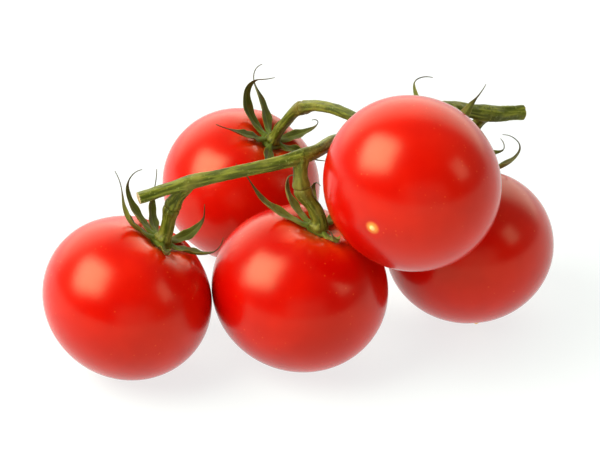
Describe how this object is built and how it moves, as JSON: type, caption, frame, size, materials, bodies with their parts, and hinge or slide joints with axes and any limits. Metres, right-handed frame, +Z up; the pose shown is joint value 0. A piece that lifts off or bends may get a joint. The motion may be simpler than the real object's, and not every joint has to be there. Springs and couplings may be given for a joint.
{
  "type": "truss of tomatoes",
  "caption": "Short vine truss of ripe cherry tomatoes on one green stalk, lying on a table, for kitchen and food scenes.",
  "frame": {"origin": "on the table, under the middle of the whole truss's box", "axes": "+X along the truss from its pruned tip to its cut stem, +Y from the front fruit to the back fruit, +Z up"},
  "size_m": [0.0914, 0.0678, 0.053],
  "materials": {
    "ripe_skin": "gloss",
    "green_stalk": "satin",
    "calyx_leaf": "matte"
  },
  "bodies": {
    "root": {"tomato_tip": "ripe_skin", "tomato_front": "ripe_skin", "tomato_back": "ripe_skin", "tomato_top": "ripe_skin", "tomato_base": "ripe_skin", "calyx_tip": "calyx_leaf", "calyx_front": "calyx_leaf", "calyx_back": "calyx_leaf", "calyx_top": "calyx_leaf", "calyx_base": "calyx_leaf", "pedicel_tip": "green_stalk", "pedicel_front": "green_stalk", "pedicel_back": "green_stalk", "pedicel_top": "green_stalk", "pedicel_base": "green_stalk", "stalk": "green_stalk"}
  },
  "joints": []
}
